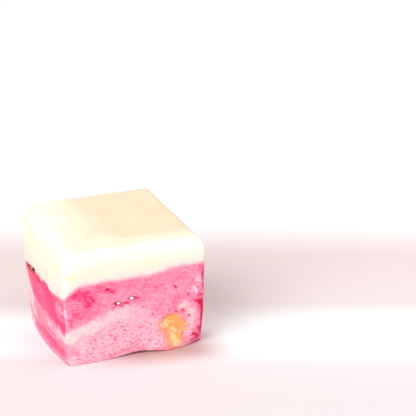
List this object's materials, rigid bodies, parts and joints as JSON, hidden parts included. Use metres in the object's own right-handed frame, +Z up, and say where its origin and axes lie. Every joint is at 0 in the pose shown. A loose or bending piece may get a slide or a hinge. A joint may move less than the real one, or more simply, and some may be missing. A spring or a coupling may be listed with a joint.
{
  "type": "nougat piece",
  "caption": "Cut block of two-layer nougat: a porous pink body under a smooth cream layer, with a piece of nut in the front cut.",
  "frame": {"origin": "middle of the footprint's box, on the surface that the piece rests on", "axes": "+Z up through the layers; -Y is the front cut with the nut; -X is the smooth cut on the left"},
  "size_m": [0.0318, 0.0326, 0.0268],
  "materials": {
    "pink": "soft aerated sugar mass, satin on the smooth cuts and finely porous on the torn ones",
    "cream": "smooth dense satin sugar mass",
    "nut": "cut nut kernel, matt with a slight oily sheen"
  },
  "bodies": {
    "root": {"pink_body": "pink", "cream_layer": "cream", "nut": "nut"}
  },
  "joints": []
}
